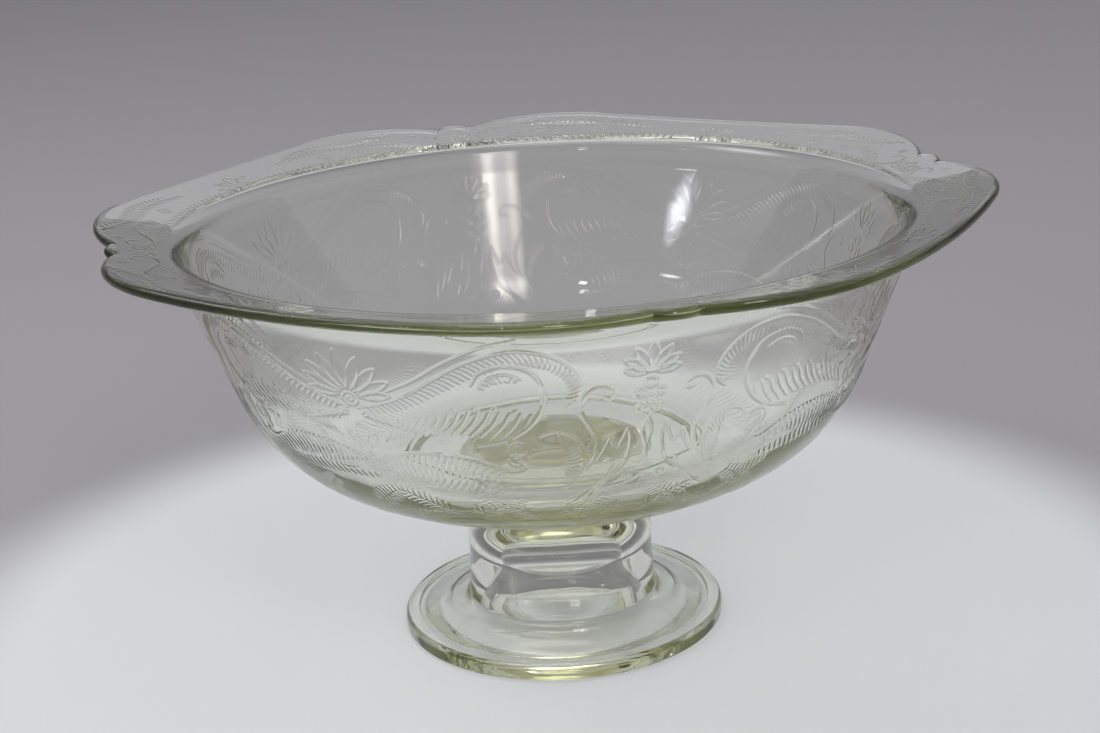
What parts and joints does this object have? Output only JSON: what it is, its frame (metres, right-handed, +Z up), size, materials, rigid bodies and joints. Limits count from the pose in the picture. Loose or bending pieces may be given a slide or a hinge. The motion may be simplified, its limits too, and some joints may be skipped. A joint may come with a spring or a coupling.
{
  "type": "footed glass punch bowl",
  "caption": "Footed serving bowl in clear pressed glass: a round bowl with a scalloped flared brim, bonded on a hollow pedestal foot.",
  "frame": {"origin": "centre of the pedestal's foot, on the surface that it stands on", "axes": "+Z up along the bowl's axis of symmetry; +X and +Y through two neighbouring notches of the brim"},
  "size_m": [0.2446, 0.2446, 0.1266],
  "materials": {
    "bowl_glass": "clear pressed glass with a faint olive tint, fire-polished, fine raised line relief outside",
    "pedestal_glass": "clear pressed glass with a faint olive tint, smooth and fire-polished",
    "cured_adhesive": "thin cured adhesive, translucent and yellowed"
  },
  "bodies": {
    "root": {"bowl": "bowl_glass", "pedestal": "pedestal_glass", "adhesive_bond": "cured_adhesive"}
  },
  "joints": []
}
